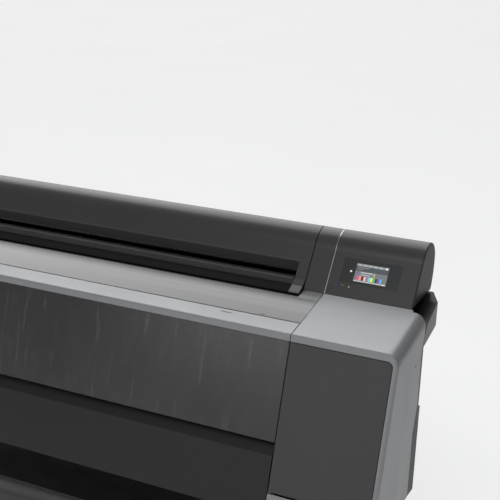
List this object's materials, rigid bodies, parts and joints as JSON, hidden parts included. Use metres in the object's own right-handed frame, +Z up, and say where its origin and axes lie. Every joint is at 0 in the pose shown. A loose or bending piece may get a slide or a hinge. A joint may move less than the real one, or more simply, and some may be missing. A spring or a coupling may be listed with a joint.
{
  "type": "large format plotter",
  "caption": "Floor-standing wide roll printer with smoked front cover, roll cover, control panel head, ink tank covers, stand on casters and a print basket.",
  "frame": {"origin": "on the floor, under the middle of the machine's box", "axes": "+X to the operator's right along the machine's width, -Y towards the operator, +Z up"},
  "size_m": [1.909, 0.667, 1.218],
  "materials": {
    "deck_grey": "fine satin texture",
    "dark_grey": "satin",
    "charcoal": "fine matte texture",
    "smoke_window": "polished",
    "piano_black": "polished",
    "screen": "polished",
    "trim": "brushed",
    "guide_grey": "semi gloss",
    "mech_black": "matte",
    "sheet_steel": "plain zinc finish",
    "machined_alu": "machined",
    "roller_rubber": "ground",
    "belt_rubber": "moulded",
    "tank_plastic": "satin",
    "board_green": "solder mask",
    "stand_black": "powder coat",
    "wheel_black": "moulded",
    "cloth_black": "woven"
  },
  "bodies": {
    "root": {"right_casing": "deck_grey", "left_casing": "deck_grey", "feed_guide": "guide_grey", "lower_front_cover": "charcoal", "base_tray": "sheet_steel", "rear_panel": "charcoal", "rear_housing": "dark_grey", "control_housing": "dark_grey", "control_end_cap": "dark_grey", "left_end_housing": "dark_grey", "right_shoulder": "dark_grey", "left_shoulder": "dark_grey", "trim_plate": "trim", "control_bezel": "piano_black", "display": "screen", "holder_rail": "dark_grey", "tank_racks": "mech_black", "ink_tanks": "tank_plastic", "chassis_plates": "sheet_steel", "carriage_rail": "machined_alu", "carriage_belt": "belt_rubber", "carriage_motor": "sheet_steel", "platen": "mech_black", "right_adapter_holder": "mech_black", "power_inlet": "mech_black", "power_supply": "sheet_steel", "main_board": "board_green", "right_stand_leg": "stand_black", "left_stand_leg": "stand_black", "stand_beam": "stand_black", "levelling_feet": "sheet_steel", "basket_front_bar": "stand_black", "basket_rear_bar": "stand_black", "basket_cloth": "cloth_black"},
    "printer_cover": {"printer_cover_frame": "deck_grey", "printer_cover_window": "smoke_window"},
    "roll_cover": {"roll_cover": "dark_grey"},
    "right_tank_cover": {"right_tank_cover": "charcoal"},
    "left_tank_cover": {"left_tank_cover": "charcoal"},
    "maintenance_box": {"maintenance_box": "mech_black"},
    "power_button": {"power_button": "piano_black"},
    "carriage": {"carriage": "mech_black", "print_head": "machined_alu"},
    "drive_pulley": {"drive_pulley": "machined_alu"},
    "idler_pulley": {"idler_pulley": "machined_alu"},
    "feed_roller": {"feed_roller": "roller_rubber"},
    "pinch_roller": {"pinch_roller": "roller_rubber"},
    "cutter": {"cutter_unit": "mech_black"},
    "left_holder": {"left_adapter_holder": "mech_black"},
    "front_left_swivel": {"front_left_caster_fork": "sheet_steel"},
    "front_left_wheel": {"front_left_caster_wheel": "wheel_black"},
    "front_right_swivel": {"front_right_caster_fork": "sheet_steel"},
    "front_right_wheel": {"front_right_caster_wheel": "wheel_black"},
    "rear_left_swivel": {"rear_left_caster_fork": "sheet_steel"},
    "rear_left_wheel": {"rear_left_caster_wheel": "wheel_black"},
    "rear_right_swivel": {"rear_right_caster_fork": "sheet_steel"},
    "rear_right_wheel": {"rear_right_caster_wheel": "wheel_black"}
  },
  "joints": [
    {"name": "printer_cover_hinge", "type": "hinge", "parent": "root", "child": "printer_cover", "pos_m": [0, -0.111, 1.0166], "axis": [-1, 0, 0], "range_deg": [0, 70]},
    {"name": "roll_cover_hinge", "type": "hinge", "parent": "root", "child": "roll_cover", "pos_m": [0, 0.207, 1.0846], "axis": [-1, 0, 0], "range_deg": [0, 65]},
    {"name": "right_tank_cover_hinge", "type": "hinge", "parent": "root", "child": "right_tank_cover", "pos_m": [0, -0.26249, 0.61043], "axis": [1, 0, 0], "range_deg": [0, 75]},
    {"name": "left_tank_cover_hinge", "type": "hinge", "parent": "root", "child": "left_tank_cover", "pos_m": [0, -0.26249, 0.61043], "axis": [1, 0, 0], "range_deg": [0, 75]},
    {"name": "maintenance_box_slide", "type": "slide", "parent": "root", "child": "maintenance_box", "axis": [0, -1, 0], "range_m": [0, 0.26]},
    {"name": "power_button_press", "type": "slide", "parent": "root", "child": "power_button", "axis": [0, 0.8404, -0.5419], "range_m": [0, 0.0012], "stiffness_N_per_m": 600},
    {"name": "carriage_slide", "type": "slide", "parent": "root", "child": "carriage", "axis": [1, 0, 0], "range_m": [-0.56, 0.56]},
    {"name": "drive_pulley_spin", "type": "hinge", "parent": "root", "child": "drive_pulley", "pos_m": [0.63, -0.037, 0.9146], "axis": [0, 1, 0], "range_deg": [-2200, 2200]},
    {"name": "idler_pulley_spin", "type": "hinge", "parent": "root", "child": "idler_pulley", "pos_m": [-0.63, -0.037, 0.9146], "axis": [0, 1, 0], "range_deg": [-2200, 2200]},
    {"name": "feed_roller_spin", "type": "hinge", "parent": "root", "child": "feed_roller", "pos_m": [0, -0.055, 0.7496], "axis": [1, 0, 0], "continuous": true},
    {"name": "pinch_roller_spin", "type": "hinge", "parent": "root", "child": "pinch_roller", "pos_m": [0, -0.055, 0.7716], "axis": [1, 0, 0], "continuous": true},
    {"name": "cutter_slide", "type": "slide", "parent": "root", "child": "cutter", "axis": [1, 0, 0], "range_m": [-0.6, 0.6]},
    {"name": "left_holder_slide", "type": "slide", "parent": "root", "child": "left_holder", "axis": [1, 0, 0], "range_m": [0, 0.86]},
    {"name": "front_left_caster_swivel", "type": "hinge", "parent": "root", "child": "front_left_swivel", "pos_m": [-0.73, -0.288, 0.09], "axis": [0, 0, 1], "continuous": true},
    {"name": "front_left_wheel_roll", "type": "hinge", "parent": "front_left_swivel", "child": "front_left_wheel", "pos_m": [-0.73, -0.268, 0.0325], "axis": [1, 0, 0], "continuous": true},
    {"name": "front_right_caster_swivel", "type": "hinge", "parent": "root", "child": "front_right_swivel", "pos_m": [0.73, -0.288, 0.09], "axis": [0, 0, 1], "continuous": true},
    {"name": "front_right_wheel_roll", "type": "hinge", "parent": "front_right_swivel", "child": "front_right_wheel", "pos_m": [0.73, -0.268, 0.0325], "axis": [1, 0, 0], "continuous": true},
    {"name": "rear_left_caster_swivel", "type": "hinge", "parent": "root", "child": "rear_left_swivel", "pos_m": [-0.73, 0.288, 0.09], "axis": [0, 0, 1], "continuous": true},
    {"name": "rear_left_wheel_roll", "type": "hinge", "parent": "rear_left_swivel", "child": "rear_left_wheel", "pos_m": [-0.73, 0.268, 0.0325], "axis": [1, 0, 0], "continuous": true},
    {"name": "rear_right_caster_swivel", "type": "hinge", "parent": "root", "child": "rear_right_swivel", "pos_m": [0.73, 0.288, 0.09], "axis": [0, 0, 1], "continuous": true},
    {"name": "rear_right_wheel_roll", "type": "hinge", "parent": "rear_right_swivel", "child": "rear_right_wheel", "pos_m": [0.73, 0.268, 0.0325], "axis": [1, 0, 0], "continuous": true}
  ],
  "couplings": [
    {"joint": "drive_pulley_spin", "follows": "carriage_slide", "rad_per_m": 66.667},
    {"joint": "idler_pulley_spin", "follows": "carriage_slide", "rad_per_m": 66.667},
    {"joint": "pinch_roller_spin", "follows": "feed_roller_spin", "ratio": -2}
  ]
}
